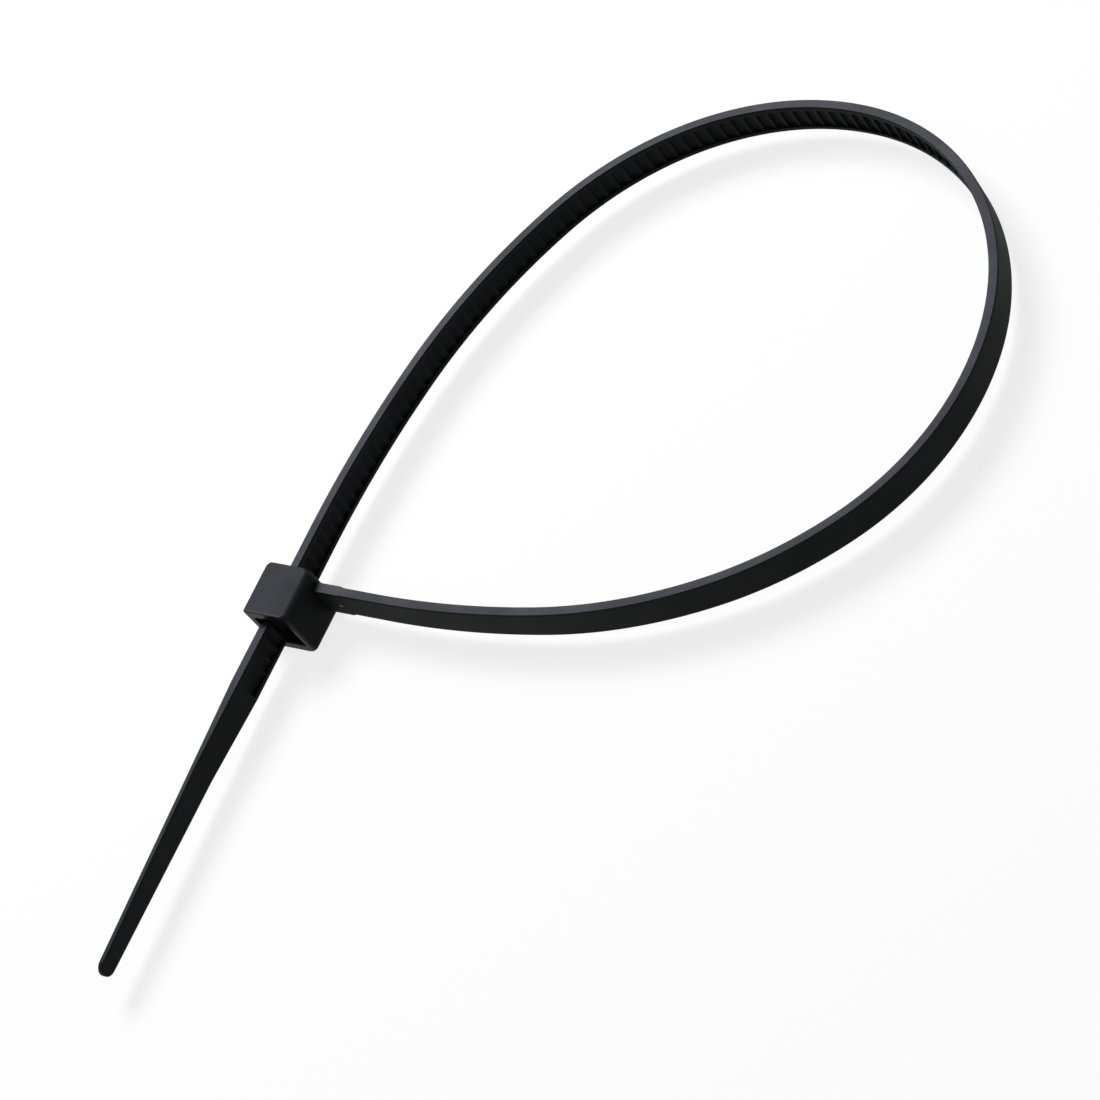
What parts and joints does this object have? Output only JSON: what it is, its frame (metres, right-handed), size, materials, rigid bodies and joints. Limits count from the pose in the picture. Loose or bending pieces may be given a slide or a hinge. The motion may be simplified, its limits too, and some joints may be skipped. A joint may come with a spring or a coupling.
{
  "type": "cable tie",
  "caption": "Black nylon cable tie closed into a loose loop: a strap with saw teeth and side rails, a square locking head with a pawl, and a tapered tail.",
  "frame": {"origin": "on the lower side of the head, in line with the slot and level with its middle", "axes": "+X along the strap's root as it leaves the head, +Y up through the slot towards the loop, +Z up across the strap's width"},
  "size_m": [0.0916, 0.145, 0.009],
  "materials": {
    "nylon": "satin"
  },
  "bodies": {
    "root": {"cable_tie": "nylon"}
  },
  "joints": []
}
